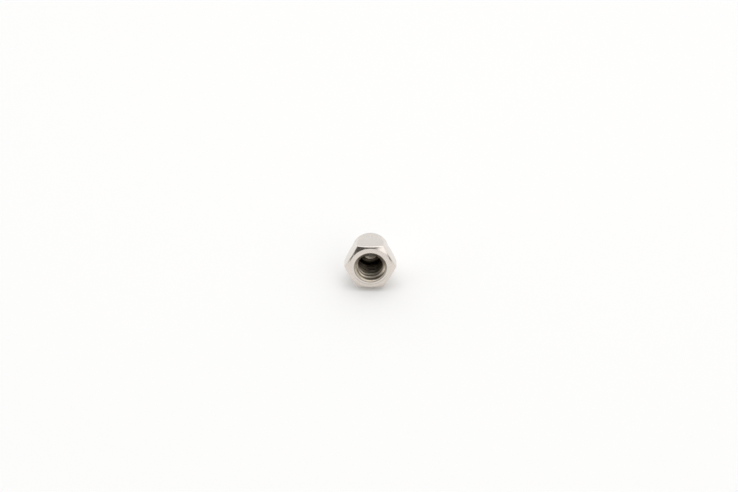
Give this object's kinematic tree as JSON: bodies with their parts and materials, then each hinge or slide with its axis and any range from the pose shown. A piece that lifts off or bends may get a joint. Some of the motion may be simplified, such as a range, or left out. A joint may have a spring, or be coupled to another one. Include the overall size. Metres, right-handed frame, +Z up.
{
  "type": "coupling nut",
  "caption": "Short coupling nut with a threaded socket in a hexagon head, a taper, a round shank and a small outlet at its closed end.",
  "frame": {"origin": "middle of the bounding box's base, on the surface that the nut lies on", "axes": "+Z up. The nut lies tipped back on the rear end of one flat and on the rear edge of its shank, so its axis leans 11.8 degrees from Y: the threaded mouth faces -Y and slightly up, the shank +Y and slightly down. +X runs across the corners of the hexagon"},
  "size_m": [0.011, 0.0106, 0.0102],
  "materials": {
    "nickel_plate": "bright nickel plate with a warm tint over turned metal, fine turning lines on the end face"
  },
  "bodies": {
    "root": {"coupling_nut": "nickel_plate"}
  },
  "joints": []
}
